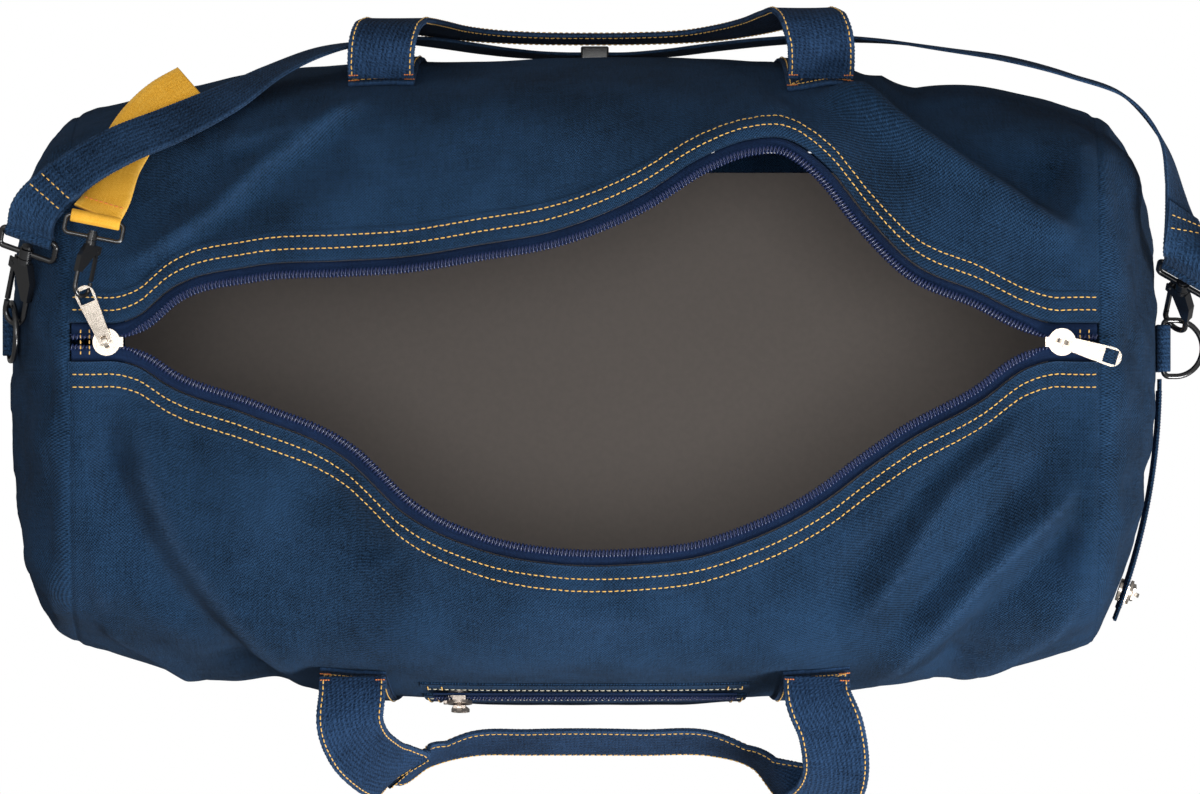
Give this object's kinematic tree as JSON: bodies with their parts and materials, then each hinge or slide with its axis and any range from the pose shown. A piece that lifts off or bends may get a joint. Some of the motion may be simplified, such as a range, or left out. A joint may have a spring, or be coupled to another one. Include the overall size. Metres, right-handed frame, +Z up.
{
  "type": "weekender bag",
  "caption": "Canvas duffel with an open two-way zip mouth, two webbing handles, zipped front and end pockets, and a clip-on shoulder strap on end rings.",
  "frame": {"origin": "centre of the underside of the base", "axes": "+X along the bag, +Y towards the back panel, +Z up"},
  "size_m": [0.6546, 0.4291, 0.2782],
  "materials": {
    "canvas_navy": "medium weight navy cotton canvas",
    "binding_navy": "navy seam binding",
    "base_board": "warm grey stiff base board",
    "zip_tape": "woven zip tape",
    "zip_coil": "glossy nylon coil",
    "webbing_handle": "canvas faced webbing",
    "webbing_navy": "coarse navy webbing",
    "webbing_yellow": "smooth yellow webbing",
    "nickel": "warm polished nickel",
    "gunmetal": "dark nickel",
    "black_hardware": "glossy black"
  },
  "bodies": {
    "bag": {"back_handle_left_leg": "webbing_handle", "back_handle_right_leg": "webbing_handle", "back_panel": "canvas_navy", "base_board": "base_board", "base_panel": "canvas_navy", "end_pocket_pouch": "canvas_navy", "end_pocket_zip_coil": "zip_coil", "end_pocket_zip_tape": "zip_tape", "front_handle_left_leg": "webbing_handle", "front_handle_right_leg": "webbing_handle", "front_panel": "canvas_navy", "front_pocket": "canvas_navy", "front_pocket_facing": "canvas_navy", "front_pocket_zip_coil": "zip_coil", "front_pocket_zip_tape": "zip_tape", "key_hook_frame": "black_hardware", "key_tag": "webbing_yellow", "left_end_panel": "canvas_navy", "left_hook_frame": "black_hardware", "left_ring_tab": "webbing_navy", "left_seam_binding": "binding_navy", "main_zip_coil_back": "zip_coil", "main_zip_coil_front": "zip_coil", "main_zip_tape_back": "zip_tape", "main_zip_tape_front": "zip_tape", "right_end_panel": "canvas_navy", "right_hook_frame": "black_hardware", "right_ring_tab": "webbing_navy", "right_seam_binding": "binding_navy", "shoulder_strap": "webbing_navy"},
    "left_slider": {"left_slider": "nickel"},
    "left_pull": {"left_pull": "nickel"},
    "right_slider": {"right_slider": "nickel"},
    "right_pull": {"right_pull": "nickel"},
    "front_pocket_slider": {"front_pocket_slider": "gunmetal"},
    "front_pocket_pull": {"front_pocket_pull": "gunmetal"},
    "end_pocket_slider": {"end_pocket_slider": "nickel"},
    "end_pocket_pull": {"end_pocket_pull": "nickel"},
    "front_handle": {"front_handle": "webbing_handle"},
    "back_handle": {"back_handle": "webbing_handle"},
    "left_ring": {"left_ring": "black_hardware"},
    "right_ring": {"right_ring": "black_hardware"},
    "left_hook": {"left_hook": "black_hardware", "left_hook_rivet": "black_hardware"},
    "left_hook_gate": {"left_hook_gate": "black_hardware"},
    "right_hook": {"right_hook": "black_hardware", "right_hook_rivet": "black_hardware"},
    "right_hook_gate": {"right_hook_gate": "black_hardware"},
    "key_hook": {"key_hook": "black_hardware", "key_hook_rivet": "black_hardware"},
    "key_hook_gate": {"key_hook_gate": "black_hardware"},
    "strap_adjuster": {"strap_adjuster": "black_hardware"}
  },
  "joints": [
    {"name": "left_slider_slide", "type": "slide", "parent": "bag", "child": "left_slider", "axis": [-1, 0, 0], "range_m": [0, 0.0015]},
    {"name": "left_pull_swing", "type": "hinge", "parent": "left_slider", "child": "left_pull", "pos_m": [-0.243, 0.018, 0.2668], "axis": [0.9272, 0.3746, 0], "range_deg": [-1, 0.8]},
    {"name": "right_slider_slide", "type": "slide", "parent": "bag", "child": "right_slider", "axis": [1, 0, 0], "range_m": [0, 0.008]},
    {"name": "right_pull_swing", "type": "hinge", "parent": "right_slider", "child": "right_pull", "pos_m": [0.243, 0.018, 0.2668], "axis": [-0.2924, -0.9563, 0], "range_deg": [0, 150]},
    {"name": "front_pocket_slider_slide", "type": "slide", "parent": "bag", "child": "front_pocket_slider", "axis": [1, 0, 0], "range_m": [0, 0.132]},
    {"name": "front_pocket_pull_swing", "type": "hinge", "parent": "front_pocket_slider", "child": "front_pocket_pull", "pos_m": [-0.068, -0.17749, 0.17112], "axis": [-1, 0, 0], "range_deg": [0, 12]},
    {"name": "end_pocket_slider_run", "type": "hinge", "parent": "bag", "child": "end_pocket_slider", "pos_m": [-0.05151, 0, 0.07326], "axis": [-0.1383, 0, 0.9904], "range_deg": [0, 15.5]},
    {"name": "end_pocket_pull_swing", "type": "hinge", "parent": "end_pocket_slider", "child": "end_pocket_pull", "pos_m": [0.3049, -0.11971, 0.12302], "axis": [-0.3126, -0.9489, -0.0436], "range_deg": [0, 150]},
    {"name": "front_handle_lift", "type": "hinge", "parent": "bag", "child": "front_handle", "pos_m": [0, -0.15728, 0.214], "axis": [-1, 0, 0], "range_deg": [0, 75]},
    {"name": "back_handle_lift", "type": "hinge", "parent": "bag", "child": "back_handle", "pos_m": [0, 0.15779, 0.214], "axis": [1, 0, 0], "range_deg": [0, 75]},
    {"name": "left_ring_swing", "type": "hinge", "parent": "bag", "child": "left_ring", "pos_m": [-0.30068, 0.024, 0.2222], "axis": [0, 1, 0], "range_deg": [-0.8, 0.3]},
    {"name": "right_ring_swing", "type": "hinge", "parent": "bag", "child": "right_ring", "pos_m": [0.30856, 0.016, 0.19182], "axis": [0, 1, 0], "range_deg": [-1.5, 1.5]},
    {"name": "left_hook_swivel", "type": "hinge", "parent": "bag", "child": "left_hook", "pos_m": [-0.28612, 0.06385, 0.25258], "axis": [-0.2585, -0.8677, -0.4246], "range_deg": [-2, 1.5]},
    {"name": "left_hook_gate_open", "type": "hinge", "parent": "left_hook", "child": "left_hook_gate", "pos_m": [-0.29331, 0.05979, 0.24641], "axis": [-0.559, -0.2242, 0.7983], "range_deg": [0, 14], "stiffness_Nm_per_rad": 0.02, "springref_deg": -8.59},
    {"name": "right_hook_swivel", "type": "hinge", "parent": "bag", "child": "right_hook", "pos_m": [0.31331, 0.04869, 0.21955], "axis": [0.05, -0.5248, -0.8497], "range_deg": [-4, 4]},
    {"name": "right_hook_gate_open", "type": "hinge", "parent": "right_hook", "child": "right_hook_gate", "pos_m": [0.30911, 0.04827, 0.21014], "axis": [-0.7055, -0.6208, 0.3419], "range_deg": [0, 14], "stiffness_Nm_per_rad": 0.02, "springref_deg": -8.59},
    {"name": "key_hook_swivel", "type": "hinge", "parent": "bag", "child": "key_hook", "pos_m": [-0.24926, 0.07096, 0.27067], "axis": [-0.1782, -0.98, 0.0891], "range_deg": [-4, 4]},
    {"name": "key_hook_gate_open", "type": "hinge", "parent": "key_hook", "child": "key_hook_gate", "pos_m": [-0.24735, 0.0642, 0.26744], "axis": [-0.7717, 0.083, -0.6306], "range_deg": [0, 14], "stiffness_Nm_per_rad": 0.02, "springref_deg": -8.59},
    {"name": "strap_adjuster_slide", "type": "slide", "parent": "bag", "child": "strap_adjuster", "axis": [1, 0, 0], "range_m": [-0.01, 0.01]}
  ]
}
